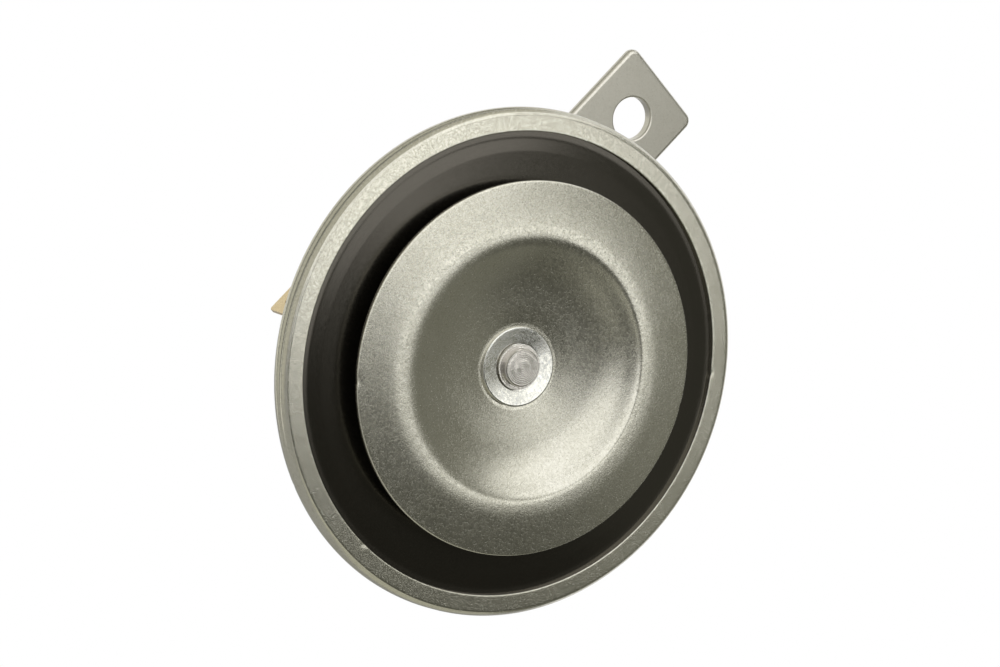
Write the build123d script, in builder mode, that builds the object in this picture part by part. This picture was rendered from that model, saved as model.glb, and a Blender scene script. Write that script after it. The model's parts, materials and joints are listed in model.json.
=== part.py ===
from build123d import *
from math import atan2, cos, hypot, radians, sin, tan
import os

# Electric disc horn for a car, with its mounting strap.
#
# Frame: millimetres, +Z up. The origin is the centre of the strap's mounting hole, on the strap's
# rear face, which seats on the car body. The strap hangs down from it and carries the horn, which
# faces -Y. Along the horn's own axis, places are given as a height: 0 at the front face of the clamp
# ring, more towards the listener, less towards the strap.

os.makedirs("parts", exist_ok=True)

# ---------------------------------------------------------------- driving dimensions
# Mounting strap
strap_width = 21.0
strap_thickness = 2.0
strap_corner_radius = 1.9
strap_edge_radius = 0.8
mount_hole_diameter = 8.5
mount_hole_edge_radius = 0.4
mount_hole_to_end = 9.9
mount_hole_to_horn_axis = 60.5

# Clamp ring, rolled round the rim
ring_sheet = 0.85
ring_outer_radius = 48.35
ring_face_width = 4.3
ring_opening_edge_radius = 0.3
ring_shoulder_radius = 1.0
ring_shoulder_step = 0.1
ring_rear_corner_radius = 0.8
ring_lip_width = 1.9
ring_groove_depth = 0.3
ring_groove_width = 0.3
ring_groove_flank = 0.2
ring_mark_radius = 0.16
ring_mark_depth = 0.08
ring_mark_angle = 76.0

# Stack under the ring
rim_clearance = 0.1
diaphragm_sheet = 0.5
gasket_thickness = 0.5
gasket_setback = 0.3

# Diaphragm form
step_to_ring_edge = 1.75
step_width = 2.0
step_rise = 0.35
step_bend = 3.0
plateau_radius = 31.0
plateau_rise = 1.05
plateau_bend = 8.0

# Tone disc and the washer in its dish
tone_sheet = 1.0
tone_rim_radius = 35.6
tone_crease_radius = 28.0
tone_shoulder_radius = 24.4
tone_foot_radius = 10.2
tone_rim_drop = 0.4
tone_ledge_drop = 0.07
tone_dish_depth = 4.15
tone_knee_rise = 1.0
tone_crease_bend = 6.0
tone_shoulder_bend = 5.0
tone_foot_bend = 8.0
tone_knee_bend_share = 0.85
tone_edge_radius = 0.25
tone_washer_radius = 7.6
tone_washer_thickness = 0.7
tone_washer_edge_radius = 0.2

# Armature, with the stud that is headed over in front of the washer
stud_radius = 4.0
stud_clearance = 0.05
stud_head_radii = (4.35, 3.95)
stud_head_step = 0.25
stud_end_radius = 3.6
stud_end_height = 0.85
stud_end_chamfer = 0.2
armature_radius = 8.0
armature_length = 11.7
armature_chamfer = 0.5
collar_radius = 11.5
collar_thickness = 1.4
collar_to_armature_end = 4.8
collar_gap = 0.3
backing_washer_radius = 9.0
backing_washer_thickness = 1.0

# Pressed housing: a wide cup with a shelf, and a narrow hub behind the shelf
shell_sheet = 1.2
shell_depth = 31.15
shell_shelf_depth = 18.95
shell_mouth_to_ring_edge = 2.6
shell_wall_taper = 3.65
shell_hub_to_bobbin = 2.5
shell_hub_taper = 0.5
shell_mouth_bend = 2.0
shell_shelf_bend = 1.8
shell_hub_mouth_bend = 2.7
shell_hub_floor_bend = 1.5

# Magnet
air_gap = 1.0
core_radius = 8.0
core_chamfer = 0.4
core_thread_radius = 4.0
core_thread_chamfer = 0.8
core_thread_past_nut = 2.0
bobbin_bore_clearance = 0.1
bobbin_wall = 1.0
bobbin_flange_radius = 17.8
winding_inset = 1.2
keeper_thickness = 0.8
keeper_radius = 12.5
keeper_setback = 0.2
keeper_fit = 0.02

# Fasteners of the strap
strap_stud_clearance = 0.25
thread_clearance = 0.05
spring_washer_radius = 7.4
spring_washer_thickness = 2.0
spring_washer_gap = 1.2
spring_washer_slant = 20.0
nut_side_count = 6
nut_across_flats = 13.0
nut_height = 6.5
nut_chamfer_angle = 30.0

# Contact set, below the armature
stack_to_button = 2.2
stack_to_wall = 3.6
stack_width = 8.4
contact_insulation = 0.5
contact_spacer = 0.8
contact_spring_sheet = 0.4
fixed_arm_sheet = 1.0
contact_arm_width = 6.0
stack_inner_rivet_inset = 2.2
stack_outer_rivet_inset = 2.8
stack_rivet_radius = 0.8
stack_rivet_fit = 0.05
stack_rivet_head_radius = 1.5
stack_rivet_head_height = 0.7
stack_rivet_air_gap = 0.6
spring_tip_gap = 1.6
fixed_arm_gap = 3.0
contact_button_radius = 2.0
contact_button_past_arm_end = 2.5
contact_tail_length = 2.2
contact_tail_width = 2.5
solder_to_tail_end = 0.55
support_sheet = 1.2
support_bend = 0.3
support_foot_width = 19.0
support_foot_length = 7.2
support_notch_clearance = 0.7
support_notch_end = 1.6
support_rivet_spacing = 13.6
support_rivet_inset = 3.6
support_rivet_radius = 1.2
support_rivet_head_radius = 1.9
support_rivet_head_height = 0.8

# Adjusting screw, which bears on the contact set from behind
adjuster_to_stack_end = 6.8
adjuster_radius = 2.0
adjuster_hole_clearance = 0.3
adjuster_nut_width = 7.0
adjuster_nut_height = 3.2
adjuster_head_radius = 3.5
adjuster_head_height = 2.4
adjuster_head_gap = 1.0
adjuster_slot_width = 1.0
adjuster_slot_depth = 1.2
adjuster_tip_gap = 0.3
adjuster_chamfer = 0.4

# Terminals
blade_width = 6.3
blade_thickness = 0.8
blade_length = 10.4
blade_corner_chamfer = 0.45
blade_hole_radius = 0.85
blade_hole_to_end = 3.4
blade_bend = 0.2
blade_to_wall = 9.2
blade_drop = 17.1
terminal_rivet_inset = 4.1
terminal_foot_length = 8.2
terminal_foot_pad_radius = 4.0
terminal_plate_radius = 6.0
terminal_plate_thickness = 1.5
terminal_plate_to_hub = 0.1
bush_radius = 4.5
bush_flange = 1.0
bush_sleeve_radius = 2.4
terminal_rivet_radius = 1.5
terminal_rivet_head_radius = 2.8
terminal_rivet_head_height = 0.9
terminal_fit = 0.05

# Leads
lead_radius = 0.45
lead_bend = 1.6
lead_hole_inset = 1.6
lead_hole_clearance = 0.1
lead_rise = 2.8
lead_side_run = 9.2
lead_contact_drop = 3.8

# ---------------------------------------------------------------- radii, from the rim inward
ring_wall_radius = ring_outer_radius - ring_sheet
ring_lip_radius = ring_wall_radius - ring_lip_width
ring_opening_radius = ring_outer_radius - ring_face_width
rim_radius = ring_wall_radius - rim_clearance
step_outer_radius = ring_opening_radius - step_to_ring_edge
step_inner_radius = step_outer_radius - step_width
stud_hole_radius = stud_radius + stud_clearance

shell_mouth_radius = ring_opening_radius - shell_mouth_to_ring_edge
shell_shelf_radius = shell_mouth_radius - shell_wall_taper
shell_hub_mouth_radius = bobbin_flange_radius + shell_hub_to_bobbin
shell_hub_floor_radius = shell_hub_mouth_radius - shell_hub_taper
winding_radius = bobbin_flange_radius - winding_inset
lead_hole_reach = winding_radius - lead_hole_inset
blade_outer_face = shell_shelf_radius - blade_to_wall
terminal_rivet_side = blade_outer_face - terminal_rivet_inset

spring_tip = armature_radius + spring_tip_gap
fixed_arm_tip = collar_radius + fixed_arm_gap
contact_reach = fixed_arm_tip + contact_button_past_arm_end
stack_inner_end = contact_reach + contact_button_radius + stack_to_button
stack_outer_end = shell_shelf_radius - stack_to_wall
adjuster_reach = stack_outer_end - adjuster_to_stack_end

# ---------------------------------------------------------------- heights along the horn's axis
diaphragm_rim = -ring_sheet
gasket_front = diaphragm_rim - diaphragm_sheet
flange_front = gasket_front - gasket_thickness
flange_rear = flange_front - shell_sheet
ring_back = flange_rear - ring_sheet
shell_back = flange_front - shell_depth
floor_front = shell_back + shell_sheet
shelf_front = flange_front - shell_shelf_depth
shelf_rear = shelf_front - shell_sheet
strap_rear = shell_back - strap_thickness

plateau = diaphragm_rim + plateau_rise
plateau_back = plateau - diaphragm_sheet
tone_seat = plateau + tone_sheet
tone_crease = tone_seat + tone_dish_depth
tone_rim = tone_crease - tone_rim_drop
tone_shoulder = tone_crease - tone_ledge_drop
tone_knee = tone_seat + tone_knee_rise
washer_front = tone_seat + tone_washer_thickness
backing_back = plateau_back - backing_washer_thickness
armature_back = backing_back - armature_length
pole_face = armature_back - air_gap
keeper_front = pole_face - keeper_setback
bobbin_front = keeper_front - keeper_thickness
winding_front = bobbin_front - bobbin_wall
winding_back = floor_front + bobbin_wall

collar_back = armature_back + collar_to_armature_end
spring_front = collar_back - collar_gap
spring_back = spring_front - contact_spring_sheet
support_top = spring_back - contact_insulation
support_top_back = support_top - support_sheet
fixed_arm_back = spring_front + contact_spacer
fixed_arm_front = fixed_arm_back + fixed_arm_sheet
stack_front = fixed_arm_front + contact_insulation
contact_meeting = spring_front + contact_spacer / 2

blade_foot_front = shelf_rear - terminal_plate_thickness
blade_foot_rear = blade_foot_front - blade_thickness
blade_end = blade_foot_front - blade_length
bush_front = shelf_front + bush_flange
terminal_rivet_front = bush_front + terminal_rivet_head_height

washer_back = strap_rear - spring_washer_thickness
nut_back = washer_back - nut_height
stud_tail = nut_back - core_thread_past_nut

# ---------------------------------------------------------------- planes
# face: across the horn's axis, X right and Z up. section: radius and height. side: drop and height.
horn_centre = (0, strap_rear, -mount_hole_to_horn_axis)
face = Plane(origin=horn_centre, x_dir=(1, 0, 0), z_dir=(0, -1, 0))
section = Plane(origin=horn_centre, x_dir=(1, 0, 0), z_dir=(0, 0, -1))
side = Plane(origin=horn_centre, x_dir=(0, 0, -1), z_dir=(-1, 0, 0))
horn_axis = Axis(horn_centre, (0, -1, 0))


def parallel_path(points, bends, distance):
    """The path and bend radii that run a distance to the left of a path of straight runs."""
    runs = []
    for (x0, y0), (x1, y1) in zip(points, points[1:]):
        length = hypot(x1 - x0, y1 - y0)
        runs.append(((x1 - x0) / length, (y1 - y0) / length))
    first, last = points[0], points[-1]
    moved = [(first[0] - runs[0][1] * distance, first[1] + runs[0][0] * distance)]
    moved_bends = []
    for (x, y), (ax, ay), (bx, by), bend in zip(points[1:], runs, runs[1:], bends):
        turn = ax * by - ay * bx
        mitre = distance / (1 + ax * bx + ay * by)
        moved.append((x - (ay + by) * mitre, y + (ax + bx) * mitre))
        moved_bends.append(bend - distance if turn > 0 else bend + distance)
    moved.append((last[0] - runs[-1][1] * distance, last[1] + runs[-1][0] * distance))
    return moved, moved_bends


def turned(points):
    """Solid of revolution round the horn's axis, from its outline in radius and height."""
    with BuildPart() as body:
        with BuildSketch(section):
            with BuildLine():
                Polyline(*points, close=True)
            make_face()
        revolve(axis=horn_axis)
    return body.part


def pressed(points, bends, sheet):
    """Round pressing: one face's path from the rim inward, with the sheet's thickness behind it."""
    back_points, back_bends = parallel_path(points, bends, sheet)
    with BuildPart() as body:
        with BuildSketch(section):
            with BuildLine():
                front = FilletPolyline(*points, radius=bends)
                back = FilletPolyline(*back_points, radius=back_bends)
                Line(front @ 0, back @ 0)
                Line(front @ 1, back @ 1)
            make_face()
        revolve(axis=horn_axis)
    return body.part


def rivets(places, radius, front, back, head_radius, head_height):
    """Like rivets with a flat head at each end; front and back are the faces under the heads."""
    with BuildPart() as group:
        with BuildSketch(face.offset(back)):
            with Locations(*places):
                Circle(radius)
        extrude(amount=front - back)
        for start in (front, back - head_height):
            with BuildSketch(face.offset(start)):
                with Locations(*places):
                    Circle(head_radius)
            extrude(amount=head_height)
    return group.part


def bent_lead(points):
    """Round lead through points given across the horn's axis and in height, with its corners bent."""
    corners = [face.from_local_coords(Vector(*point)) for point in points]
    with BuildPart() as lead:
        with BuildLine() as route:
            start = corners[0]
            for before, corner, after in zip(corners, corners[1:], corners[2:]):
                incoming = (corner - before).normalized()
                outgoing = (after - corner).normalized()
                half_turn = radians(incoming.get_angle(outgoing)) / 2
                tangent = lead_bend * tan(half_turn)
                inward = (outgoing - incoming).normalized()
                arc_start = corner - incoming * tangent
                arc_middle = corner + inward * (lead_bend / cos(half_turn) - lead_bend)
                arc_end = corner + outgoing * tangent
                Line(start, arc_start)
                ThreePointArc(arc_start, arc_middle, arc_end)
                start = arc_end
            Line(start, corners[-1])
        with BuildSketch(Plane(origin=route.line @ 0, z_dir=route.line % 0)):
            Circle(lead_radius)
        sweep(path=route.line)
    return lead.part


def save(piece, name):
    """Label a finished piece and write it out."""
    piece.label = name
    export_step(piece, f"parts/{name}.step")


# ---------------------------------------------------------------- rim
shoulder_radius = ring_outer_radius - ring_shoulder_step
shoulder_centre = (shoulder_radius - ring_shoulder_radius, -ring_shoulder_radius)
groove_front = -ring_shoulder_radius - ring_groove_width
groove_back = groove_front - ring_groove_flank
mark_reach = ring_shoulder_radius + ring_mark_radius - ring_mark_depth

with BuildPart() as clamp_ring:
    with BuildSketch(section):
        with BuildLine():
            opening_edge = RadiusArc(
                (ring_opening_radius, -ring_opening_edge_radius),
                (ring_opening_radius + ring_opening_edge_radius, 0),
                ring_opening_edge_radius,
            )
            shoulder = RadiusArc(
                (shoulder_centre[0], 0),
                (shoulder_radius, -ring_shoulder_radius),
                ring_shoulder_radius,
            )
            Line(opening_edge @ 1, shoulder @ 0)
            wall = Polyline(
                shoulder @ 1,
                (shoulder_radius, groove_front + ring_groove_flank),
                (shoulder_radius - ring_groove_depth, groove_front),
                (shoulder_radius - ring_groove_depth, groove_back),
                (ring_outer_radius, groove_back - ring_groove_flank),
                (ring_outer_radius, ring_back + ring_rear_corner_radius),
            )
            rear_corner = RadiusArc(
                wall @ 1,
                (ring_outer_radius - ring_rear_corner_radius, ring_back),
                ring_rear_corner_radius,
            )
            Polyline(
                rear_corner @ 1,
                (ring_lip_radius, ring_back),
                (ring_lip_radius, flange_rear),
                (ring_wall_radius, flange_rear),
                (ring_wall_radius, -ring_sheet),
                (ring_opening_radius, -ring_sheet),
                opening_edge @ 0,
            )
        make_face()
        with Locations(
            (
                shoulder_centre[0] + mark_reach * cos(radians(ring_mark_angle)),
                shoulder_centre[1] + mark_reach * sin(radians(ring_mark_angle)),
            )
        ):
            Circle(ring_mark_radius, mode=Mode.SUBTRACT)
    revolve(axis=horn_axis)
save(clamp_ring.part, "clamp_ring")

diaphragm_step = diaphragm_rim + step_rise
diaphragm = pressed(
    points=[
        (rim_radius, diaphragm_rim),
        (step_outer_radius, diaphragm_rim),
        (step_inner_radius, diaphragm_step),
        (plateau_radius, plateau),
        (stud_hole_radius, plateau),
    ],
    bends=[step_bend, step_bend, plateau_bend],
    sheet=diaphragm_sheet,
)
save(diaphragm, "diaphragm")

with BuildPart() as diaphragm_gasket:
    with BuildSketch(face.offset(flange_front)):
        Circle(rim_radius)
        Circle(ring_opening_radius + gasket_setback, mode=Mode.SUBTRACT)
    extrude(amount=gasket_thickness)
save(diaphragm_gasket.part, "diaphragm_gasket")

# ---------------------------------------------------------------- tone disc, washer and armature
# The dish's wall is steep at its shoulder and eases inward: two runs, with one long bend between them.
tone_knee_radius = (tone_shoulder_radius + tone_foot_radius) / 2
tone_knee_run = tone_shoulder_radius - tone_knee_radius
upper_slope = atan2(tone_shoulder - tone_knee, tone_knee_run)
lower_slope = atan2(tone_knee_rise, tone_knee_run)
tone_knee_bend = tone_knee_bend_share * tone_knee_run / tan((upper_slope - lower_slope) / 2)

with BuildPart() as tone_disc:
    add(
        pressed(
            points=[
                (tone_rim_radius, tone_rim),
                (tone_crease_radius, tone_crease),
                (tone_shoulder_radius, tone_shoulder),
                (tone_knee_radius, tone_knee),
                (tone_foot_radius, tone_seat),
                (stud_hole_radius, tone_seat),
            ],
            bends=[tone_crease_bend, tone_shoulder_bend, tone_knee_bend, tone_foot_bend],
            sheet=tone_sheet,
        )
    )
    circles = tone_disc.edges().filter_by(GeomType.CIRCLE).filter_by(face)
    rim_edges = circles.sort_by(SortBy.RADIUS)[-2:]
    fillet(rim_edges, radius=tone_edge_radius)
save(tone_disc.part, "tone_disc")

with BuildPart() as tone_disc_washer:
    with BuildSketch(face.offset(tone_seat)):
        Circle(tone_washer_radius)
        Circle(stud_hole_radius, mode=Mode.SUBTRACT)
    extrude(amount=tone_washer_thickness)
    washer_edges = tone_disc_washer.edges().filter_by(GeomType.CIRCLE).group_by(SortBy.RADIUS)[-1]
    fillet(washer_edges, radius=tone_washer_edge_radius)
save(tone_disc_washer.part, "tone_disc_washer")

with BuildPart() as armature_washer:
    with BuildSketch(face.offset(backing_back)):
        Circle(backing_washer_radius)
        Circle(stud_hole_radius, mode=Mode.SUBTRACT)
    extrude(amount=backing_washer_thickness)
save(armature_washer.part, "armature_washer")

head_outline = []
head_height = washer_front
for head_radius in stud_head_radii:
    head_outline.append((head_radius, head_height))
    head_height += stud_head_step
    head_outline.append((head_radius, head_height))
stud_end = head_height + stud_end_height
armature = turned(
    [
        (0, armature_back),
        (armature_radius - armature_chamfer, armature_back),
        (armature_radius, armature_back + armature_chamfer),
        (armature_radius, collar_back),
        (collar_radius, collar_back),
        (collar_radius, collar_back + collar_thickness),
        (armature_radius, collar_back + collar_thickness),
        (armature_radius, backing_back),
        (stud_radius, backing_back),
        (stud_radius, washer_front),
        *head_outline,
        (stud_end_radius, head_height),
        (stud_end_radius, stud_end - stud_end_chamfer),
        (stud_end_radius - stud_end_chamfer, stud_end),
        (0, stud_end),
    ]
)
save(armature, "armature")

# ---------------------------------------------------------------- housing
terminal_places = [(-terminal_rivet_side, -blade_drop), (terminal_rivet_side, -blade_drop)]
support_rivet_drop = stack_outer_end - support_rivet_inset
support_rivet_places = [
    (-support_rivet_spacing / 2, -support_rivet_drop),
    (support_rivet_spacing / 2, -support_rivet_drop),
]
adjuster_place = (0, -adjuster_reach)

with BuildPart() as housing:
    add(
        pressed(
            points=[
                (rim_radius, flange_front),
                (shell_mouth_radius, flange_front),
                (shell_shelf_radius, shelf_front),
                (shell_hub_mouth_radius, shelf_front),
                (shell_hub_floor_radius, floor_front),
                (core_thread_radius + stud_clearance, floor_front),
            ],
            bends=[shell_mouth_bend, shell_shelf_bend, shell_hub_mouth_bend, shell_hub_floor_bend],
            sheet=shell_sheet,
        )
    )
    with BuildSketch(face.offset(shelf_rear)):
        with Locations(*terminal_places):
            Circle(bush_sleeve_radius + terminal_fit)
        with Locations(*support_rivet_places):
            Circle(support_rivet_radius + terminal_fit)
        with Locations(adjuster_place):
            Circle(adjuster_radius + adjuster_hole_clearance)
    extrude(amount=shell_sheet, mode=Mode.SUBTRACT)
save(housing.part, "housing")

# ---------------------------------------------------------------- magnet
pole_core = turned(
    [
        (0, pole_face),
        (core_radius - core_chamfer, pole_face),
        (core_radius, pole_face - core_chamfer),
        (core_radius, floor_front),
        (core_thread_radius, floor_front),
        (core_thread_radius, stud_tail + core_thread_chamfer),
        (core_thread_radius - core_thread_chamfer, stud_tail),
        (0, stud_tail),
    ]
)
save(pole_core, "pole_core")

bobbin_bore = core_radius + bobbin_bore_clearance
bobbin_tube_radius = bobbin_bore + bobbin_wall
contact_lead_start = (lead_side_run, -((lead_hole_reach**2 - lead_side_run**2) ** 0.5))
terminal_direction = atan2(-blade_drop, terminal_rivet_side)
terminal_lead_start = (
    lead_hole_reach * cos(terminal_direction),
    lead_hole_reach * sin(terminal_direction),
)
with BuildPart() as coil_bobbin:
    add(
        turned(
            [
                (bobbin_bore, floor_front),
                (bobbin_flange_radius, floor_front),
                (bobbin_flange_radius, winding_back),
                (bobbin_tube_radius, winding_back),
                (bobbin_tube_radius, winding_front),
                (bobbin_flange_radius, winding_front),
                (bobbin_flange_radius, bobbin_front),
                (bobbin_bore, bobbin_front),
            ]
        )
    )
    with BuildSketch(face.offset(winding_front)):
        with Locations(contact_lead_start, terminal_lead_start):
            Circle(lead_radius + lead_hole_clearance)
    extrude(amount=bobbin_wall, mode=Mode.SUBTRACT)
save(coil_bobbin.part, "coil_bobbin")

with BuildPart() as coil_winding:
    with BuildSketch(face.offset(winding_back)):
        Circle(winding_radius)
        Circle(bobbin_tube_radius, mode=Mode.SUBTRACT)
    extrude(amount=winding_front - winding_back)
save(coil_winding.part, "coil_winding")

with BuildPart() as coil_keeper:
    with BuildSketch(face.offset(bobbin_front)):
        Circle(keeper_radius)
        Circle(core_radius + keeper_fit, mode=Mode.SUBTRACT)
    extrude(amount=keeper_thickness)
save(coil_keeper.part, "coil_keeper")

# ---------------------------------------------------------------- contact set
stack_rivet_places = [
    (0, -(stack_inner_end + stack_inner_rivet_inset)),
    (0, -(stack_outer_end - stack_outer_rivet_inset)),
]
stack_length = stack_outer_end - stack_inner_end
stack_centre = (0, -(stack_outer_end + stack_inner_end) / 2)
tail_end = stack_outer_end + contact_tail_length


def contact_arm(inner_end, back, sheet, tail_side):
    """Flat contact strip, from its working end to the solder tail past the stack, with rivet holes."""
    with BuildPart() as strip:
        with BuildSketch(face.offset(back)):
            with Locations((0, -(inner_end + stack_outer_end) / 2)):
                Rectangle(contact_arm_width, stack_outer_end - inner_end)
            tail_shift = (contact_arm_width - contact_tail_width) / 2 * tail_side
            with Locations((tail_shift, -(stack_outer_end + tail_end) / 2)):
                Rectangle(contact_tail_width, contact_tail_length)
            with Locations(*stack_rivet_places):
                Circle(stack_rivet_radius + stack_rivet_air_gap, mode=Mode.SUBTRACT)
        extrude(amount=sheet)
    return strip.part


support_path = [
    (stack_outer_end - support_foot_length, shelf_front),
    (stack_outer_end, shelf_front),
    (stack_outer_end, support_top),
    (stack_inner_end, support_top),
]
support_outer_bend = support_bend + support_sheet
support_inside, support_inside_bends = parallel_path(
    support_path, [support_outer_bend, support_outer_bend], support_sheet
)
notch_width = adjuster_nut_width + 2 * support_notch_clearance
notch_length = support_foot_length - support_notch_end
with BuildPart() as contact_support:
    with BuildSketch(side):
        with BuildLine():
            outside = FilletPolyline(*support_path, radius=support_outer_bend)
            inside = FilletPolyline(*support_inside, radius=support_inside_bends)
            Line(outside @ 0, inside @ 0)
            Line(outside @ 1, inside @ 1)
        make_face()
    extrude(amount=stack_width / 2, both=True)
    with BuildSketch(face.offset(shelf_front)):
        for ear_side in (-1, 1):
            ear_width = (support_foot_width - notch_width) / 2
            ear_place = ear_side * (notch_width + ear_width) / 2
            with Locations((ear_place, -(stack_outer_end - support_foot_length / 2))):
                Rectangle(ear_width, support_foot_length)
    extrude(amount=support_sheet)
    with BuildSketch(face.offset(shelf_front)):
        with Locations((0, -(stack_outer_end - support_foot_length + notch_length / 2))):
            Rectangle(notch_width, notch_length)
        with Locations(*support_rivet_places):
            Circle(support_rivet_radius + stack_rivet_fit)
    extrude(amount=support_sheet, mode=Mode.SUBTRACT)
    with BuildSketch(face.offset(support_top_back)):
        with Locations(*stack_rivet_places):
            Circle(stack_rivet_radius + stack_rivet_fit)
    extrude(amount=support_sheet, mode=Mode.SUBTRACT)
save(contact_support.part, "contact_support")

support_rivets = rivets(
    support_rivet_places,
    support_rivet_radius,
    shelf_front + support_sheet,
    shelf_rear,
    support_rivet_head_radius,
    support_rivet_head_height,
)
save(support_rivets, "support_rivets")

button_place = (0, -contact_reach)
contact_spring = contact_arm(spring_tip, spring_back, contact_spring_sheet, tail_side=1)
save(contact_spring, "contact_spring")
fixed_contact_arm = contact_arm(fixed_arm_tip, fixed_arm_back, fixed_arm_sheet, tail_side=-1)
save(fixed_contact_arm, "fixed_contact_arm")

for button_name, button_back in (
    ("moving_contact", spring_front),
    ("fixed_contact", contact_meeting),
):
    with BuildPart() as button:
        with BuildSketch(face.offset(button_back)):
            with Locations(button_place):
                Circle(contact_button_radius)
        extrude(amount=contact_spacer / 2)
    save(button.part, button_name)

with BuildPart() as contact_insulators:
    for layer_back, layer_thickness in (
        (support_top, contact_insulation),
        (spring_front, contact_spacer),
        (fixed_arm_front, contact_insulation),
    ):
        with BuildSketch(face.offset(layer_back)):
            with Locations(stack_centre):
                Rectangle(stack_width, stack_length)
            with Locations(*stack_rivet_places):
                Circle(stack_rivet_radius + stack_rivet_fit, mode=Mode.SUBTRACT)
        extrude(amount=layer_thickness)
save(contact_insulators.part, "contact_insulators")

contact_rivets = rivets(
    stack_rivet_places,
    stack_rivet_radius,
    stack_front,
    support_top_back,
    stack_rivet_head_radius,
    stack_rivet_head_height,
)
save(contact_rivets, "contact_rivets")

# ---------------------------------------------------------------- adjusting screw
with BuildPart() as adjusting_nut:
    with BuildSketch(face.offset(shelf_front)):
        with Locations(adjuster_place):
            Rectangle(adjuster_nut_width, adjuster_nut_width)
            Circle(adjuster_radius + thread_clearance, mode=Mode.SUBTRACT)
    extrude(amount=adjuster_nut_height)
save(adjusting_nut.part, "adjusting_nut")

adjuster_tip = support_top_back - adjuster_tip_gap
adjuster_head_front = shelf_rear - adjuster_head_gap
adjuster_head_back = adjuster_head_front - adjuster_head_height
with BuildPart() as adjusting_screw:
    with BuildSketch(face.offset(adjuster_head_front)):
        with Locations(adjuster_place):
            Circle(adjuster_radius)
    extrude(amount=adjuster_tip - adjuster_head_front)
    tip_edge = adjusting_screw.edges().sort_by(Axis.Y)[0]
    chamfer(tip_edge, length=adjuster_chamfer)
    with BuildSketch(face.offset(adjuster_head_back)):
        with Locations(adjuster_place):
            Circle(adjuster_head_radius)
    extrude(amount=adjuster_head_height)
    head_edge = adjusting_screw.edges().sort_by(Axis.Y)[-1]
    chamfer(head_edge, length=adjuster_chamfer)
    with BuildSketch(face.offset(adjuster_head_back)):
        with Locations(adjuster_place):
            Rectangle(2 * adjuster_head_radius, adjuster_slot_width)
    extrude(amount=adjuster_slot_depth, mode=Mode.SUBTRACT)
save(adjusting_screw.part, "adjusting_screw")

# ---------------------------------------------------------------- terminals
hub_foot_radius = shell_hub_mouth_radius + shell_hub_mouth_bend
with BuildPart() as terminal_plates:
    with BuildSketch(face.offset(blade_foot_front)):
        with Locations(*terminal_places):
            Circle(terminal_plate_radius)
            Circle(terminal_rivet_radius + terminal_fit, mode=Mode.SUBTRACT)
        Circle(hub_foot_radius + terminal_plate_to_hub, mode=Mode.SUBTRACT)
    extrude(amount=terminal_plate_thickness)
save(terminal_plates.part, "terminal_plates")

with BuildPart() as terminal_bushes:
    with BuildSketch(face.offset(shelf_rear)):
        with Locations(*terminal_places):
            Circle(bush_sleeve_radius)
    extrude(amount=shell_sheet)
    with BuildSketch(face.offset(shelf_front)):
        with Locations(*terminal_places):
            Circle(bush_radius)
    extrude(amount=bush_flange)
    with BuildSketch(face.offset(shelf_rear)):
        with Locations(*terminal_places):
            Circle(terminal_rivet_radius + terminal_fit)
    extrude(amount=bush_front - shelf_rear, mode=Mode.SUBTRACT)
save(terminal_bushes.part, "terminal_bushes")

terminal_rivets = rivets(
    terminal_places,
    terminal_rivet_radius,
    bush_front,
    blade_foot_rear,
    terminal_rivet_head_radius,
    terminal_rivet_head_height,
)
save(terminal_rivets, "terminal_rivets")

for terminal_name, terminal_side in (("terminal_left", -1), ("terminal_right", 1)):
    blade_path = [
        (terminal_side * (blade_outer_face - terminal_foot_length), blade_foot_front),
        (terminal_side * blade_outer_face, blade_foot_front),
        (terminal_side * blade_outer_face, blade_end),
    ]
    blade_inside, blade_inside_bends = parallel_path(
        blade_path, [blade_bend + blade_thickness], -terminal_side * blade_thickness
    )
    with BuildPart() as terminal:
        with BuildSketch(section.offset(blade_drop)):
            with BuildLine():
                outside = FilletPolyline(*blade_path, radius=blade_bend + blade_thickness)
                inside = FilletPolyline(*blade_inside, radius=blade_bend)
                Line(outside @ 0, inside @ 0)
                Line(outside @ 1, inside @ 1)
            make_face()
        extrude(amount=blade_width / 2, both=True)
        end_edges = terminal.edges().filter_by(Axis.X).group_by(Axis.Y)[-1]
        chamfer(end_edges, length=blade_corner_chamfer)
        with BuildSketch(side):
            with Locations((blade_drop, blade_end + blade_hole_to_end)):
                Circle(blade_hole_radius)
        extrude(amount=blade_outer_face, both=True, mode=Mode.SUBTRACT)
        with BuildSketch(face.offset(blade_foot_rear)):
            with Locations((terminal_side * terminal_rivet_side, -blade_drop)):
                Circle(terminal_foot_pad_radius)
        extrude(amount=blade_thickness)
        with BuildSketch(face.offset(blade_foot_rear)):
            with Locations((terminal_side * terminal_rivet_side, -blade_drop)):
                Circle(terminal_rivet_radius + terminal_fit)
        extrude(amount=blade_thickness, mode=Mode.SUBTRACT)
    save(terminal.part, terminal_name)

# ---------------------------------------------------------------- leads
terminal_lead_height = bobbin_front + lead_rise
tail_centre = (contact_arm_width - contact_tail_width) / 2
tail_solder = tail_end - solder_to_tail_end
lead_coil_to_terminal = bent_lead(
    [
        (*terminal_lead_start, winding_front),
        (*terminal_lead_start, terminal_lead_height),
        (terminal_rivet_side, -blade_drop, terminal_lead_height),
        (terminal_rivet_side, -blade_drop, terminal_rivet_front),
    ]
)
save(lead_coil_to_terminal, "lead_coil_to_terminal")

lead_coil_to_contact = bent_lead(
    [
        (*contact_lead_start, winding_front),
        (*contact_lead_start, terminal_lead_height),
        (lead_side_run, -tail_solder, terminal_lead_height),
        (tail_centre, -tail_solder, terminal_lead_height),
        (tail_centre, -tail_solder, spring_back),
    ]
)
save(lead_coil_to_contact, "lead_coil_to_contact")

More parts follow.
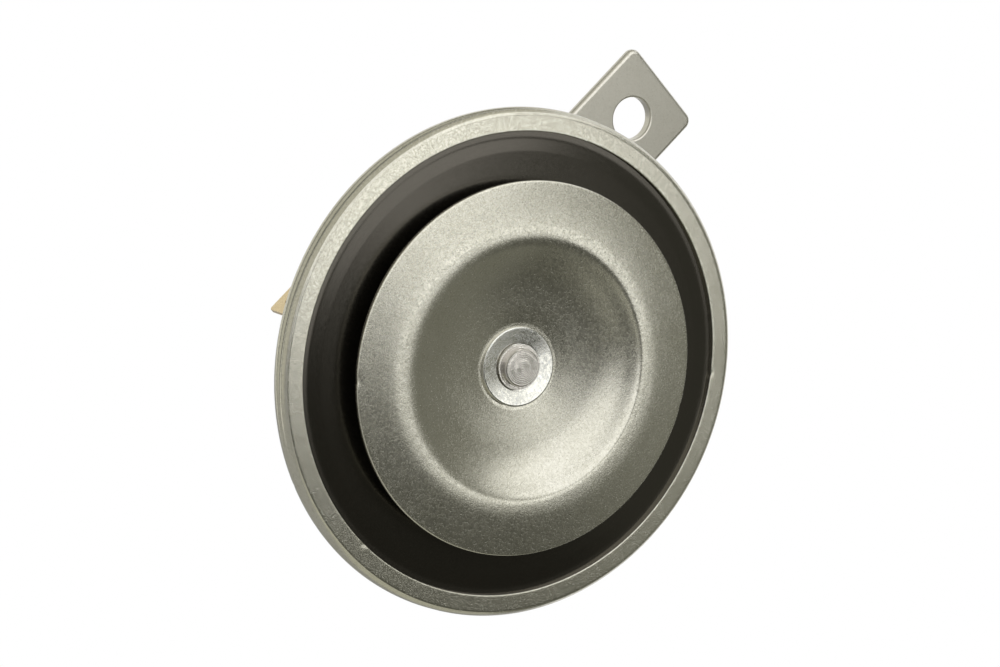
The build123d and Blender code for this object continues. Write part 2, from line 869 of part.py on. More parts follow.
fixed_lead_height = fixed_arm_back - lead_contact_drop
lead_contact_to_terminal = bent_lead(
    [
        (-tail_centre, -tail_solder, fixed_arm_back),
        (-tail_centre, -tail_solder, fixed_lead_height),
        (-lead_side_run, -tail_solder, fixed_lead_height),
        (-terminal_rivet_side, -blade_drop, fixed_lead_height),
        (-terminal_rivet_side, -blade_drop, terminal_rivet_front),
    ]
)
save(lead_contact_to_terminal, "lead_contact_to_terminal")

# ---------------------------------------------------------------- strap and its fasteners
strap_top = mount_hole_to_horn_axis + mount_hole_to_end
with BuildPart() as bracket:
    with BuildSketch(face.offset(strap_rear)) as strap_outline:
        with Locations((0, strap_top / 2)):
            Rectangle(strap_width, strap_top)
        Circle(strap_width / 2)
        fillet(strap_outline.vertices().group_by(Axis.Y)[-1], radius=strap_corner_radius)
    extrude(amount=strap_thickness)
    long_edges = bracket.faces().filter_by(Axis.Y).edges()
    fillet(long_edges, radius=strap_edge_radius)
    with BuildSketch(face.offset(strap_rear)):
        with Locations((0, mount_hole_to_horn_axis)):
            Circle(mount_hole_diameter / 2)
    extrude(amount=strap_thickness, mode=Mode.SUBTRACT)
    punched_edge = bracket.edges(Select.LAST).filter_by(GeomType.CIRCLE).sort_by(Axis.Y)[0]
    fillet(punched_edge, radius=mount_hole_edge_radius)
    with BuildSketch(face.offset(strap_rear)):
        Circle(core_thread_radius + strap_stud_clearance)
    extrude(amount=strap_thickness, mode=Mode.SUBTRACT)
save(bracket.part, "bracket")

with BuildPart() as bracket_spring_washer:
    with BuildSketch(face.offset(washer_back)):
        Circle(spring_washer_radius)
        Circle(core_thread_radius + strap_stud_clearance, mode=Mode.SUBTRACT)
    extrude(amount=spring_washer_thickness)
    slit_reach = 2 * spring_washer_radius
    with BuildSketch(side):
        with Locations((0, washer_back + spring_washer_thickness / 2)):
            Rectangle(spring_washer_gap, slit_reach, rotation=spring_washer_slant)
    extrude(amount=-slit_reach, mode=Mode.SUBTRACT)
save(bracket_spring_washer.part, "bracket_spring_washer")

nut_flat_radius = nut_across_flats / 2
nut_corner_radius = nut_flat_radius / cos(radians(180 / nut_side_count))
nut_chamfer = (nut_corner_radius - nut_flat_radius) * tan(radians(nut_chamfer_angle))
nut_bore = core_thread_radius + thread_clearance
with BuildPart() as bracket_nut:
    with BuildSketch(face.offset(nut_back)):
        RegularPolygon(radius=nut_flat_radius, side_count=nut_side_count, major_radius=False)
    extrude(amount=nut_height)
    add(
        turned(
            [
                (nut_bore, nut_back),
                (nut_flat_radius, nut_back),
                (nut_corner_radius, nut_back + nut_chamfer),
                (nut_corner_radius, washer_back - nut_chamfer),
                (nut_flat_radius, washer_back),
                (nut_bore, washer_back),
            ]
        ),
        mode=Mode.INTERSECT,
    )
save(bracket_nut.part, "bracket_nut")
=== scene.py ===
import json
import math

import bmesh
import bpy
from mathutils import Matrix, Vector


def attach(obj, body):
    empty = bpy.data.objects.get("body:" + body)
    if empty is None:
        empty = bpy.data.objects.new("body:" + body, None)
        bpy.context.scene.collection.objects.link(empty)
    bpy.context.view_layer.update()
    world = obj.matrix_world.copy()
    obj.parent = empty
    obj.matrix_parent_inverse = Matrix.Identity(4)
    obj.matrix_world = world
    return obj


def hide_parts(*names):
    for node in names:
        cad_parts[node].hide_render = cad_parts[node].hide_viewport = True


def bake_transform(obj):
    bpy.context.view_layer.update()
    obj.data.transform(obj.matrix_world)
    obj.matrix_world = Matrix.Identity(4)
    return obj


# Car horn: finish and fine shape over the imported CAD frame. Metres, in the CAD's frame.
# MM turns the sizes, written in millimetres as in the part's source, into metres.
# Round pieces are given in radius and height along the horn's axis: height 0 is the clamp ring's
# front face, more towards the listener. Angles run from +X towards +Z.

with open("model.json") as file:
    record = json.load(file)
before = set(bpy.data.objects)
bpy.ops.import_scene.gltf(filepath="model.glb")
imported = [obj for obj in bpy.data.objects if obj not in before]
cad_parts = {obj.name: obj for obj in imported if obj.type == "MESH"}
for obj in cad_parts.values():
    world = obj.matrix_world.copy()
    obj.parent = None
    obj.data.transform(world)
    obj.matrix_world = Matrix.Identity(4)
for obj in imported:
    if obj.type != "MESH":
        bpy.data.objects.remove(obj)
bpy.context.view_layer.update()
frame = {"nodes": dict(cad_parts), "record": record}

MM = 0.001
HORN_AXIS_Z = -60.5
FACE_Y = -35.0

# ---------------------------------------------------------------- camera
# Solved from the outlines of the ring, the disc and the strap in the photograph.
CAMERA_PLACE = (-0.3474, -0.6733, -0.2404)
CAMERA_AIM = (-0.00669, -0.035, -0.05859)
CAMERA_ROLL = 42.73
CAMERA_LENS = 144.0
CAMERA_SENSOR = 36.0
CAMERA_NEAR = 0.05
CAMERA_FAR = 20.0

camera = bpy.data.objects.new("camera", bpy.data.cameras.new("camera"))
bpy.context.collection.objects.link(camera)
camera.data.lens = CAMERA_LENS
camera.data.sensor_width = CAMERA_SENSOR
camera.data.clip_start = CAMERA_NEAR
camera.data.clip_end = CAMERA_FAR
sight = Vector(CAMERA_AIM) - Vector(CAMERA_PLACE)
turn = sight.to_track_quat("-Z", "Y").to_matrix().to_4x4()
camera.matrix_world = (
    Matrix.Translation(CAMERA_PLACE) @ turn @ Matrix.Rotation(math.radians(CAMERA_ROLL), 4, "Z")
)
bpy.context.scene.camera = camera
bpy.context.scene.view_settings.view_transform = "Standard"


# ---------------------------------------------------------------- studio
FLOOR_Z = -0.6
FLOOR_EDGES = (-6, 6)
FLOOR_COLOUR = (0.8, 0.8, 0.8, 1)
FLOOR_ROUGHNESS = 0.8
WORLD_COLOUR = (1, 1, 1, 1)
WORLD_LEVEL = 0.45
WORLD_SHOWN = 1.0
CARD_DISTANCE = 0.62
CARD_STEPS = 16
horn_face = Vector((0, FACE_Y * MM, HORN_AXIS_Z * MM))


def direction(azimuth, elevation):
    """Unit vector out of the horn's face: azimuth towards +X, elevation upward, in degrees."""
    a, e = math.radians(azimuth), math.radians(elevation)
    return Vector((math.sin(a) * math.cos(e), -math.cos(a) * math.cos(e), math.sin(e)))


def grid_object(name, rows, smooth=True):
    """Mesh object from rows of points, each row as long as the next."""
    mesh = bpy.data.meshes.new(name)
    width = len(rows[0])
    points = [p for row in rows for p in row]
    faces = [
        (i * width + j, i * width + j + 1, (i + 1) * width + j + 1, (i + 1) * width + j)
        for i in range(len(rows) - 1)
        for j in range(width - 1)
    ]
    mesh.from_pydata(points, [], faces)
    mesh.polygons.foreach_set("use_smooth", [smooth] * len(mesh.polygons))
    thing = bpy.data.objects.new(name, mesh)
    bpy.context.collection.objects.link(thing)
    return thing


def softbox(name, azimuth, elevation, distance, width, height, radiance, roll=0.0):
    """Rectangular soft lamp that faces the horn, as bright as radiance where metal mirrors it."""
    lamp = bpy.data.lights.new(name, "AREA")
    lamp.shape = "RECTANGLE"
    lamp.size, lamp.size_y = width, height
    lamp.energy = radiance * math.pi * width * height
    box = bpy.data.objects.new(name, lamp)
    bpy.context.collection.objects.link(box)
    toward = direction(azimuth, elevation)
    facing = toward.to_track_quat("Z", "Y").to_matrix().to_4x4()
    box.matrix_world = (
        Matrix.Translation(horn_face + toward * distance)
        @ facing
        @ Matrix.Rotation(math.radians(roll), 4, "Z")
    )
    box.visible_camera = False


def card(name, azimuths, elevations, colour):
    """Curved card round the horn, which the metal mirrors and the camera doesn't see."""
    rows = []
    for i in range(CARD_STEPS + 1):
        elevation = elevations[0] + (elevations[1] - elevations[0]) * i / CARD_STEPS
        row = []
        for j in range(CARD_STEPS + 1):
            azimuth = azimuths[0] + (azimuths[1] - azimuths[0]) * j / CARD_STEPS
            row.append(tuple(horn_face + direction(azimuth, elevation) * CARD_DISTANCE))
        rows.append(row)
    thing = grid_object(name, rows)
    thing.visible_camera = False
    paint = bpy.data.materials.new(name)
    paint.use_nodes = True
    tree = paint.node_tree
    tree.nodes.clear()
    glow = tree.nodes.new("ShaderNodeEmission")
    glow.inputs["Color"].default_value = (*colour, 1)
    glow.inputs["Strength"].default_value = 1.0
    out = tree.nodes.new("ShaderNodeOutputMaterial")
    tree.links.new(glow.outputs[0], out.inputs["Surface"])
    thing.data.materials.append(paint)


softbox(
    "main_softbox", azimuth=-20, elevation=26, distance=0.305, width=0.331, height=0.529,
    radiance=1.45, roll=-4.6,
)
softbox(
    "strip_softbox", azimuth=22.3, elevation=16, distance=0.446, width=0.10, height=0.133,
    radiance=1.6, roll=-54,
)

# Each card's azimuths and elevations, in degrees, and its colour. softbox_back is the dark round
# the main lamp: without it the metal mirrors the world there.
CARDS = {
    "dark_card": ((6, 52), (-17, 10), (0.085, 0.085, 0.071)),
    "side_card": ((52, 100), (-17, 10), (0.20, 0.20, 0.168)),
    "top_card": ((6, 100), (10, 80), (0.21, 0.21, 0.178)),
    "low_card": ((6, 100), (-80, -17), (0.56, 0.555, 0.475)),
    "softbox_back": ((-47, 6), (-14, 66), (0.03, 0.03, 0.03)),
    "left_card": ((-110, -47), (-75, 80), (0.62, 0.61, 0.54)),
    "groove_card": ((-135, -110), (-75, 80), (0.17, 0.17, 0.16)),
    "rear_card": ((-165, -135), (-75, 80), (0.85, 0.84, 0.77)),
}
for card_name, (azimuths, elevations, colour) in CARDS.items():
    card(card_name, azimuths, elevations, colour)

floor_rows = [[(x, y, FLOOR_Z) for x in FLOOR_EDGES] for y in FLOOR_EDGES]
floor = grid_object("floor", floor_rows, smooth=False)
floor_paint = bpy.data.materials.new("floor_paint")
floor_paint.use_nodes = True
floor_shader = floor_paint.node_tree.nodes["Principled BSDF"]
floor_shader.inputs["Base Color"].default_value = FLOOR_COLOUR
floor_shader.inputs["Roughness"].default_value = FLOOR_ROUGHNESS
floor.data.materials.append(floor_paint)

# The world is white to the camera and where metal or glass shows it, and dimmer as a light.
world = bpy.data.worlds.new("studio")
bpy.context.scene.world = world
world.use_nodes = True
world_tree = world.node_tree
background = world_tree.nodes["Background"]
background.inputs["Color"].default_value = WORLD_COLOUR
path = world_tree.nodes.new("ShaderNodeLightPath")
direct = world_tree.nodes.new("ShaderNodeMath")
direct.operation = "MAXIMUM"
shown = world_tree.nodes.new("ShaderNodeMath")
shown.operation = "MAXIMUM"
level = world_tree.nodes.new("ShaderNodeMapRange")
level.inputs["To Min"].default_value = WORLD_LEVEL
level.inputs["To Max"].default_value = WORLD_SHOWN
world_tree.links.new(path.outputs["Is Camera Ray"], direct.inputs[0])
world_tree.links.new(path.outputs["Is Glossy Ray"], direct.inputs[1])
world_tree.links.new(direct.outputs[0], shown.inputs[0])
world_tree.links.new(path.outputs["Is Transmission Ray"], shown.inputs[1])
world_tree.links.new(shown.outputs[0], level.inputs["Value"])
world_tree.links.new(level.outputs["Result"], background.inputs["Strength"])


# ---------------------------------------------------------------- materials
# A Mix node has sockets for each kind of data. These are its factor's and its colours'.
MIX_FACTOR, MIX_FIRST, MIX_SECOND = 0, 6, 7
MIX_RESULT = 2


class Finish:
    """A principled material with helpers for procedural detail, in millimetres."""

    def __init__(self, name, colour, metallic, roughness):
        self.material = bpy.data.materials.new(name)
        self.material.use_nodes = True
        self.tree = self.material.node_tree
        self.shader = self.tree.nodes["Principled BSDF"]
        self.shader.inputs["Base Color"].default_value = (*colour, 1)
        self.shader.inputs["Metallic"].default_value = metallic
        self.shader.inputs["Roughness"].default_value = roughness
        place = self.tree.nodes.new("ShaderNodeTexCoord")
        scale = self.tree.nodes.new("ShaderNodeVectorMath")
        scale.operation = "SCALE"
        scale.inputs["Scale"].default_value = 1 / MM
        self.link(place.outputs["Object"], scale.inputs[0])
        self.place = scale.outputs[0]
        self.bumps = None

    def node(self, kind):
        return self.tree.nodes.new("ShaderNode" + kind)

    def link(self, a, b):
        self.tree.links.new(a, b)

    def noise(self, size, detail):
        """Noise from 0 to 1 with features of that size in mm."""
        node = self.node("TexNoise")
        node.inputs["Scale"].default_value = 1 / size
        node.inputs["Detail"].default_value = detail
        self.link(self.place, node.inputs["Vector"])
        return node.outputs["Fac"]

    def cells(self, size):
        """Random value from 0 to 1 for each crystal of that size in mm."""
        node = self.node("TexVoronoi")
        node.inputs["Scale"].default_value = 1 / size
        self.link(self.place, node.inputs["Vector"])
        part = self.node("SeparateColor")
        self.link(node.outputs["Color"], part.inputs[0])
        return part.outputs[0]

    def span(self, value, low, high, from_low=0.0, from_high=1.0):
        """The value's range from_low to from_high turned into low to high."""
        node = self.node("MapRange")
        node.inputs["From Min"].default_value = from_low
        node.inputs["From Max"].default_value = from_high
        node.inputs["To Min"].default_value = low
        node.inputs["To Max"].default_value = high
        self.link(value, node.inputs["Value"])
        return node.outputs["Result"]

    def math(self, operation, a, b):
        """Result of a Math node on two sockets or numbers."""
        node = self.node("Math")
        node.operation = operation
        for socket, value in zip(node.inputs, (a, b)):
            if isinstance(value, (int, float)):
                socket.default_value = value
            else:
                self.link(value, socket)
        return node.outputs[0]

    def mix(self, factor, a, b):
        """Colour a where the factor is 0 and b where it is 1."""
        node = self.node("Mix")
        node.data_type = "RGBA"
        for index, value in ((MIX_FACTOR, factor), (MIX_FIRST, a), (MIX_SECOND, b)):
            socket = node.inputs[index]
            if isinstance(value, tuple):
                socket.default_value = (*value, 1)
            elif isinstance(value, (int, float)):
                socket.default_value = value
            else:
                self.link(value, socket)
        return node.outputs[MIX_RESULT]

    def bump(self, height, depth):
        """Bump of that depth in mm, over any bump already there."""
        node = self.node("Bump")
        node.inputs["Distance"].default_value = depth * MM
        node.inputs["Strength"].default_value = 1.0
        self.link(height, node.inputs["Height"])
        if self.bumps:
            self.link(self.bumps, node.inputs["Normal"])
        self.bumps = node.outputs["Normal"]
        self.link(self.bumps, self.shader.inputs["Normal"])

    def colour(self, value):
        self.link(value, self.shader.inputs["Base Color"])

    def roughness(self, value):
        self.link(value, self.shader.inputs["Roughness"])


# Zinc plate. Sizes are times the grain's, or in mm. Each share is how far that detail pulls the
# tone from light to dark, and each band is the part of its noise that is used.
CRYSTAL_SIZE = 1.7
CRYSTAL_SHARE = 0.35
CRYSTAL_ROUGHNESS = (-0.03, 0.05)
CRYSTAL_DEPTH = 0.5
FLECK_SIZE = 1.8
FLECK_SHARE = 0.6
FLECK_BAND = (0.56, 0.68)
FINE_BAND = (0.3, 0.7)
FINE_ROUGHNESS = 0.03
FINE_DEPTH = 1.3
SLOW_SIZE_MM = 11.0
SLOW_SHARE = 0.35
SLOW_BAND = (0.35, 0.65)
RIPPLE_SIZE_MM = 4.5


def zinc(name, light, dark, roughness, grain, depth, ripple=0.0):
    """Zinc plate with a fine grain, duller crystals and a slow change of tone.

    grain is the grain's size, depth its height and ripple the height of the sheet's waves, in mm.
    """
    finish = Finish(name, light, 1.0, roughness)
    fine = finish.noise(grain, 1.0)
    crystal = finish.cells(grain * CRYSTAL_SIZE)
    fleck = finish.span(finish.noise(grain * FLECK_SIZE, 2.0), 0.0, 1.0, *FLECK_BAND)
    slow = finish.noise(SLOW_SIZE_MM, 3.0)
    crystal_tone = finish.span(crystal, 0.0, CRYSTAL_SHARE)
    slow_tone = finish.span(slow, 0.0, SLOW_SHARE, *SLOW_BAND)
    tone = finish.math("ADD", crystal_tone, slow_tone)
    tone = finish.math("ADD", tone, finish.span(fleck, 0.0, FLECK_SHARE))
    finish.colour(finish.mix(tone, light, dark))
    crystal_rough = finish.span(crystal, *CRYSTAL_ROUGHNESS)
    fine_rough = finish.span(
        fine, roughness - FINE_ROUGHNESS, roughness + FINE_ROUGHNESS, *FINE_BAND
    )
    finish.roughness(finish.math("ADD", crystal_rough, fine_rough))
    finish.bump(fine, depth * FINE_DEPTH)
    finish.bump(crystal, depth * CRYSTAL_DEPTH)
    if ripple:
        finish.bump(finish.noise(RIPPLE_SIZE_MM, 2.0), ripple)
    return finish.material


ring_zinc = zinc("ring_zinc", (0.665, 0.65, 0.57), (0.53, 0.515, 0.43), 0.21, 0.20, 0.010, 0.02)
disc_zinc = zinc("disc_zinc", (0.665, 0.65, 0.575), (0.53, 0.515, 0.43), 0.23, 0.22, 0.011, 0.03)
housing_zinc = zinc("housing_zinc", (0.62, 0.62, 0.57), (0.50, 0.50, 0.46), 0.28, 0.40, 0.016, 0.02)
strap_zinc = zinc("strap_zinc", (0.68, 0.66, 0.59), (0.61, 0.59, 0.52), 0.34, 0.20, 0.006, 0.01)
fastener_zinc = zinc("fastener_zinc", (0.68, 0.68, 0.67), (0.56, 0.56, 0.55), 0.22, 0.25, 0.010)
washer_zinc = zinc("washer_zinc", (0.72, 0.71, 0.65), (0.64, 0.645, 0.62), 0.16, 0.3, 0.003, 0.012)
steel = zinc("turned_steel", (0.62, 0.60, 0.56), (0.52, 0.50, 0.46), 0.20, 0.25, 0.008)
rivet_zinc = zinc("rivet_zinc", (0.62, 0.62, 0.60), (0.52, 0.52, 0.50), 0.25, 0.25, 0.010)
tungsten = zinc("contact_tungsten", (0.50, 0.50, 0.50), (0.42, 0.42, 0.42), 0.3, 0.2, 0.008)
brass = zinc("terminal_brass", (0.80, 0.66, 0.42), (0.70, 0.56, 0.34), 0.28, 0.25, 0.008)
bronze = zinc("spring_bronze", (0.72, 0.50, 0.30), (0.60, 0.40, 0.24), 0.25, 0.30, 0.012)


COAT_SLOW_SIZE_MM = 6.0
COAT_ROUGHNESS = 0.04


def coated(name, colour, variation, roughness, grain, depth, index=1.5, tint=(1, 1, 1)):
    """Paint, plastic, fibre or enamel with a fine grain and an uneven tone."""
    finish = Finish(name, colour, 0.0, roughness)
    finish.shader.inputs["IOR"].default_value = index
    finish.shader.inputs["Specular Tint"].default_value = (*tint, 1)
    fine = finish.noise(grain, 3.0)
    slow = finish.noise(COAT_SLOW_SIZE_MM, 3.0)
    other = tuple(c * variation for c in colour)
    finish.colour(finish.mix(finish.span(slow, 0, 1, *SLOW_BAND), colour, other))
    finish.roughness(
        finish.span(fine, roughness - COAT_ROUGHNESS, roughness + COAT_ROUGHNESS, *FINE_BAND)
    )
    finish.bump(fine, depth)
    return finish.material


DIAPHRAGM_BLACK = (0.004, 0.0035, 0.0025)
diaphragm_paint = coated(
    "diaphragm_paint", DIAPHRAGM_BLACK, 0.7, 0.19, 0.30, 0.002, index=1.85, tint=(1.0, 0.93, 0.80)
)
gasket_fibre = coated("gasket_fibre", (0.04, 0.038, 0.036), 0.6, 0.7, 0.2, 0.04)
nylon = coated("bobbin_nylon", (0.045, 0.045, 0.045), 0.8, 0.45, 0.5, 0.02)
copper = coated("enamelled_copper", (0.50, 0.20, 0.07), 0.8, 0.25, 0.3, 0.01)
board = coated("insulating_board", (0.26, 0.12, 0.05), 0.7, 0.5, 0.4, 0.03)

FINISHES = {
    "plated_ring_steel": ring_zinc,
    "plated_disc_steel": disc_zinc,
    "plated_housing_steel": housing_zinc,
    "black_diaphragm": diaphragm_paint,
    "gasket_fibre": gasket_fibre,
    "strap_steel": strap_zinc,
    "fastener_steel": fastener_zinc,
    "bright_washer": washer_zinc,
    "turned_steel": steel,
    "bobbin_plastic": nylon,
    "enamelled_copper": copper,
    "contact_metal": tungsten,
    "spring_bronze": bronze,
    "insulating_board": board,
    "terminal_brass": brass,
    "rivet_steel": rivet_zinc,
}
for subpart in frame["record"]["subparts"]:
    node = frame["nodes"][subpart["node"]]
    finish = FINISHES[subpart["material_slot"]]
    node.data.materials.clear()
    node.data.materials.append(finish)


# ---------------------------------------------------------------- round pieces
MERGE_DISTANCE = 1e-7


def bent(points, bends, step=0.25, turn_step=2.0):
    """Points along straight runs whose corners are bent to those radii, in mm."""
    path = []
    runs = [Vector(b) - Vector(a) for a, b in zip(points, points[1:])]
    start = Vector(points[0])
    for corner, before, after, bend in zip(points[1:], runs, runs[1:], list(bends) + [0]):
        corner = Vector(corner)
        turn = before.angle_signed(after)
        tangent = bend * math.tan(abs(turn) / 2)
        enter = corner - before.normalized() * tangent
        count = max(1, round((enter - start).length / step))
        path += [start.lerp(enter, i / count) for i in range(count)]
        side = math.copysign(1, turn)
        middle = enter + Vector((before.y, -before.x)).normalized() * bend * side
        count = max(2, round(math.degrees(abs(turn)) / turn_step))
        for i in range(count):
            spin = Matrix.Rotation(-turn * i / count, 2)
            path.append(middle + spin @ (enter - middle))
        start = corner + after.normalized() * tangent
    end = Vector(points[-1])
    count = max(1, round((end - start).length / step))
    path += [start.lerp(end, i / count) for i in range(count + 1)]
    return path


def backed(path, sheet):
    """Closed outline of a sheet whose front face runs along the path from rim to middle."""
    back = []
    for i, point in enumerate(path):
        along = (path[min(i + 1, len(path) - 1)] - path[max(i - 1, 0)]).normalized()
        back.append(point + Vector((-along.y, along.x)) * sheet)
    return list(path) + back[::-1]


def place(radius, height, angle):
    """A point on the horn in metres, from its radius and height in mm and its angle in radians."""
    return (
        radius * math.cos(angle) * MM,
        (FACE_Y - height) * MM,
        (HORN_AXIS_Z + radius * math.sin(angle)) * MM,
    )


def lathe(name, outline, material, segments, sharp=35.0, shape=None):
    """Piece turned round the horn's axis. shape moves a point given as radius, height and angle."""
    mesh = bpy.data.meshes.new(name)
    points, faces = [], []
    count = len(outline)
    for s in range(segments):
        angle = 2 * math.pi * s / segments
        for radius, height in outline:
            if shape:
                radius, height = shape(radius, height, angle)
            points.append(place(radius, height, angle))
    for s in range(segments):
        t = (s + 1) % segments
        for i in range(count):
            j = (i + 1) % count
            faces.append((s * count + i, t * count + i, t * count + j, s * count + j))
    mesh.from_pydata(points, [], faces)
    tidy = bmesh.new()
    tidy.from_mesh(mesh)
    bmesh.ops.remove_doubles(tidy, verts=tidy.verts, dist=MERGE_DISTANCE)
    bmesh.ops.recalc_face_normals(tidy, faces=tidy.faces)
    tidy.to_mesh(mesh)
    tidy.free()
    mesh.polygons.foreach_set("use_smooth", [True] * len(mesh.polygons))
    mesh.set_sharp_from_angle(angle=math.radians(sharp))
    mesh.materials.append(material)
    piece = bpy.data.objects.new(name, mesh)
    bpy.context.collection.objects.link(piece)
    return piece


def waves(angle, seeds):
    """Slow unevenness round the horn: the sum of a few waves, each (count, size, phase)."""
    return sum(size * math.sin(count * angle + phase) for count, size, phase in seeds)


def ride_striker(piece, node):
    """Let a piece move with the tone disc, in place of that node if one is named."""
    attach(piece, "striker")
    if node:
        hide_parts(node)


# Tone disc. Its slopes rise outward, in degrees, at radii from the washer's edge out to the rim.
# They began as a fit to the photograph's light, with the lamps and cards, and were then changed.
TONE_SEAT = 1.2
TONE_RIM_RADIUS = 35.6
TONE_SHEET = 1.0
TONE_HOLE_RADIUS = 4.05
TONE_SLOPES = [
    (8.2, 9.0), (10.0, 9.2), (13.0, 9.6), (15.0, 11.0), (17.0, 14.6), (19.0, 17.1), (21.0, 18.8),
    (23.2, 19.2), (24.0, 16.2), (25.3, 4.0), (25.9, 1.8), (26.6, 0.6), (27.4, -1.2), (28.2, -3.2),
    (31.0, -4.8), (TONE_RIM_RADIUS, -5.4),
]
TONE_STEP = 0.26
TONE_EDGE = 0.25
TONE_EDGE_TURN = 15


def slope_at(slopes, radius):
    """Slope in degrees at a radius, straight between the radii that are given."""
    for (r0, s0), (r1, s1) in zip(slopes, slopes[1:]):
        if radius <= r1:
            return s0 + (s1 - s0) * max(0, radius - r0) / (r1 - r0)
    return slopes[-1][1]


def tone_front():
    """Points of the tone disc's front face, from its hole out to its rim."""
    radius, height = TONE_SLOPES[0][0], TONE_SEAT
    points = [Vector((TONE_HOLE_RADIUS, TONE_SEAT)), Vector((radius, height))]
    while radius < TONE_RIM_RADIUS - TONE_EDGE - TONE_STEP / 2:
        slope = slope_at(TONE_SLOPES, radius + TONE_STEP / 2)
        height += TONE_STEP * math.tan(math.radians(slope))
        radius += TONE_STEP
        points.append(Vector((radius, height)))
    return points


def tone_outline():
    """Closed outline of the tone disc, with its rim's edges rounded."""
    front = tone_front()
    back = backed(front[::-1], TONE_SHEET)[len(front):]
    along = (front[-1] - front[-2]).normalized()
    across = Vector((along.y, -along.x))
    rim = []
    for centre_depth, first_angle in ((TONE_EDGE, 0), (TONE_SHEET - TONE_EDGE, 90)):
        centre = front[-1] + across * centre_depth
        for angle in range(first_angle, first_angle + 91, TONE_EDGE_TURN):
            a = math.radians(angle)
            outward, forward = TONE_EDGE * math.sin(a), TONE_EDGE * math.cos(a)
            rim.append(centre + along * outward - across * forward)
    return front[:-1] + rim + back[::-1]


CREASE_RADIUS = 27.8
CREASE_REACH = 3.0
CREASE_WAVES = [(1, 0.35, 2.2), (2, 0.18, 0.6), (3, 0.10, 1.9), (5, 0.05, 0.3)]
DISC_WAVES = [(2, 0.03, 0.4), (3, 0.02, 2.0)]
# Each nick: angle in degrees, radius, width in mm, how far the edge is pushed in and down.
DISC_NICKS = [
    (227.0, TONE_RIM_RADIUS, 0.7, 0.18, 0.10),
    (32.0, TONE_RIM_RADIUS, 0.5, 0.10, 0.06),
]
RING_NICKS = [
    (41.5, 44.1, 0.35, -0.25, 0.10),
    (273.0, 44.3, 0.3, -0.05, 0.12),
    (252.0, 48.2, 0.5, 0.08, 0.08),
]
NICK_REACH = 3


def nicked(radius, height, angle, nicks):
    """A point moved by the nicks that are near it."""
    for degrees, place_radius, width, inward, down in nicks:
        turn = (math.degrees(angle) - degrees + 180) % 360 - 180
        away = math.hypot(math.radians(turn) * place_radius, radius - place_radius) / width
        if away < NICK_REACH:
            pull = math.exp(-away * away)
            radius -= inward * pull
            height -= down * pull
    return radius, height


SHOULDER_RADIUS = 24.7
SHOULDER_REACH = 1.8
SHOULDER_SPREAD = 0.55
SPREAD_ANGLE = math.radians(205)
RIM_WAVE_POWER = 4


def disc_shape(radius, height, angle):
    """The disc's crease wanders, its shoulder is tighter on one side, and its rim isn't flat."""
    from_shoulder = radius - SHOULDER_RADIUS
    near_shoulder = math.exp(-((from_shoulder / SHOULDER_REACH) ** 2))
    spread = SHOULDER_SPREAD * math.cos(angle - SPREAD_ANGLE) * near_shoulder
    radius += spread * from_shoulder
    near_crease = math.exp(-(((radius - CREASE_RADIUS) / CREASE_REACH) ** 2))
    rim_share = (radius / TONE_RIM_RADIUS) ** RIM_WAVE_POWER
    radius += near_crease * waves(angle, CREASE_WAVES)
    height += rim_share * waves(angle, DISC_WAVES)
    return nicked(radius, height, angle, DISC_NICKS)


disc = lathe("tone_disc_dished", tone_outline(), disc_zinc, segments=400, shape=disc_shape)
ride_striker(disc, "tone_disc")

# Washer, drawn into a shallow cone as the stud was headed over
WASHER_RADIUS = 7.6
WASHER_HOLE_RADIUS = 4.1
WASHER_BACK = 1.22
WASHER_PATH = [
    (WASHER_RADIUS, 1.55), (7.5, 1.84), (7.25, 1.88), (4.6, 1.64), (4.35, 1.58),
    (WASHER_HOLE_RADIUS, 1.64),
]
WASHER_BENDS = [0.1, 0.12, 0.6, 0.2]
WASHER_LEAN = 1.8
WASHER_LEAN_DEPTH = 0.3
WASHER_HIGH_ANGLE = math.radians(-34)
washer_outline = bent(WASHER_PATH, WASHER_BENDS, step=0.2)
washer_outline += [Vector((WASHER_HOLE_RADIUS, WASHER_BACK)), Vector((WASHER_RADIUS, WASHER_BACK))]


def washer_shape(radius, height, angle):
    """The washer's front leans a little, higher towards its high side."""
    front = min(1, max(0, (height - WASHER_BACK) / WASHER_LEAN_DEPTH))
    lean = radius * math.cos(angle - WASHER_HIGH_ANGLE) * math.tan(math.radians(WASHER_LEAN))
    return radius, height + front * lean


washer = lathe(
    "tone_disc_washer_coned", washer_outline, washer_zinc, segments=240, shape=washer_shape
)
ride_striker(washer, "tone_disc_washer")

# Turning marks on the stud's end
STUD_END = 3.42
STUD_MARK_RADIUS = 3.38
MARK_PITCH = 0.34
MARK_HEIGHT = 0.016
MARK_STEP = 0.05
MARK_LIFT = 0.004
MARK_LEAST = 0.4
MARK_SWELL = 0.6
MARK_SWELL_TURN = 2.1
STUD_DOME = 0.05
STUD_FOOT = 0.05


def stud_end_outline():
    """Top with rings left by the tool, and a flat foot just inside the stud."""
    count = round(STUD_MARK_RADIUS / MARK_STEP)
    top = []
    for i in range(count + 1):
        radius = STUD_MARK_RADIUS * (1 - i / count)
        ring = 0.5 - 0.5 * math.cos(2 * math.pi * radius / MARK_PITCH)
        share = MARK_LEAST + MARK_SWELL * abs(math.sin(MARK_SWELL_TURN * radius))
        dome = STUD_DOME * (1 - (radius / STUD_MARK_RADIUS) ** 2)
        top.append(Vector((radius, STUD_END + MARK_LIFT + MARK_HEIGHT * ring * share + dome)))
    foot = STUD_END - STUD_FOOT
    return top + [Vector((0, foot)), Vector((STUD_MARK_RADIUS, foot))]


stud_end = lathe("stud_end_marks", stud_end_outline(), steel, segments=160)
ride_striker(stud_end, None)

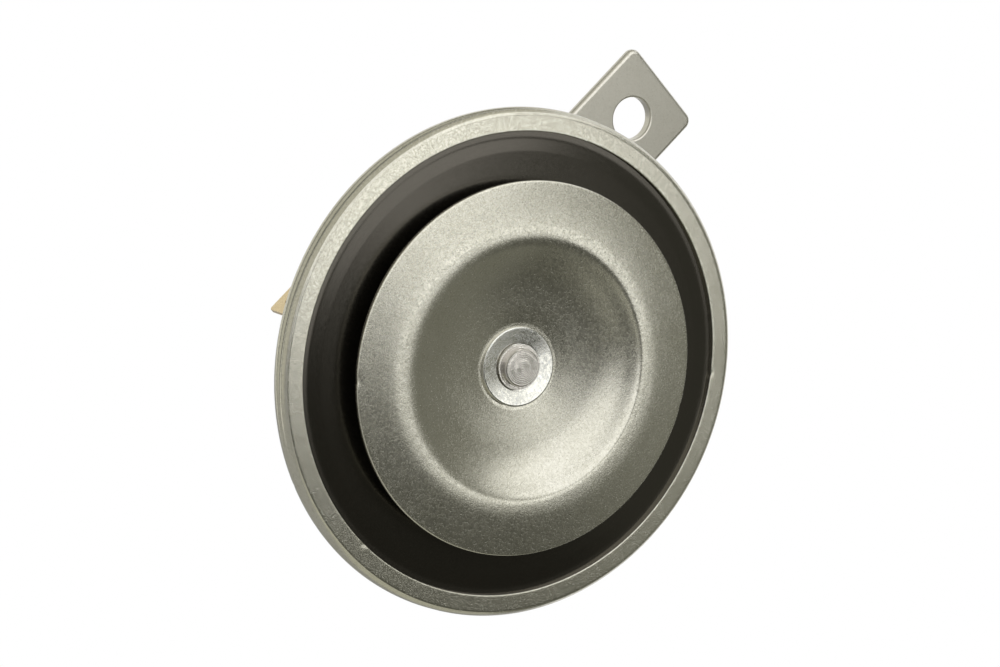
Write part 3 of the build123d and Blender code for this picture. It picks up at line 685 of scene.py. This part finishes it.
# Clamp ring: its section, from the back of the lip round the face to the rolled edge
RING_BACK = -3.9
RING_SECTION = [
    (45.6, -3.05), (47.5, -3.05), (47.5, -0.85), (44.05, -0.85), (44.05, -0.10), (44.08, -0.04),
    (44.16, -0.005), (44.3, 0.0), (47.3, 0.0), (47.36, -0.02), (47.42, -0.11), (47.50, -0.12),
    (47.58, -0.17), (48.05, -0.64), (48.20, -0.84), (48.20, -0.96), (48.0, -1.06), (47.88, -1.22),
    (48.0, -1.86), (48.1, -2.0), (48.28, -2.24), (48.35, -2.45), (48.35, -3.1), (48.29, -3.41),
    (48.12, -3.67), (47.86, -3.84), (47.55, RING_BACK), (45.6, RING_BACK),
]
RING_STEP = 0.4
RING_WAVES = [(1, 0.05, 2.4), (2, 0.04, 1.0), (3, 0.03, 0.5), (7, 0.012, 1.1)]
RING_WANDER = 0.04
RING_WANDER_START = 46.5
RING_WANDER_WIDTH = 1.0


def subdivided(points, step):
    """Points with more of them along each run, so that none is longer than step."""
    fine = []
    for a, b in zip(points, points[1:] + points[:1]):
        a, b = Vector(a), Vector(b)
        count = max(1, math.ceil((b - a).length / step))
        fine += [a.lerp(b, i / count) for i in range(count)]
    return fine


def ring_shape(radius, height, angle):
    """The rolled ring's outer lines wander a little."""
    outer = min(1, max(0, (radius - RING_WANDER_START) / RING_WANDER_WIDTH))
    radius -= RING_WANDER * outer * (1 - waves(angle, RING_WAVES))
    return nicked(radius, height, angle, RING_NICKS)


ring_outline = subdivided(RING_SECTION, RING_STEP)
ring = lathe(
    "clamp_ring_rolled", ring_outline, ring_zinc, segments=480, sharp=50, shape=ring_shape
)
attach(ring, "horn_body")
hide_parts("clamp_ring")

# Diaphragm, which flexes between the clamped rim and the middle that the striker carries
DIAPHRAGM_SHEET = 0.5
DIAPHRAGM_PATH = [(47.4, -0.85), (42.8, -0.85), (40.3, -0.54), (31.0, 0.2), (4.05, 0.2)]
DIAPHRAGM_BENDS = [6.0, 8.0, 8.0]
diaphragm_front = bent(DIAPHRAGM_PATH, DIAPHRAGM_BENDS, step=0.4, turn_step=1.0)
diaphragm_outline = backed(diaphragm_front, DIAPHRAGM_SHEET)
diaphragm = lathe("diaphragm_sheet", diaphragm_outline, diaphragm_paint, segments=300)
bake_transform(diaphragm)
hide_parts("diaphragm")
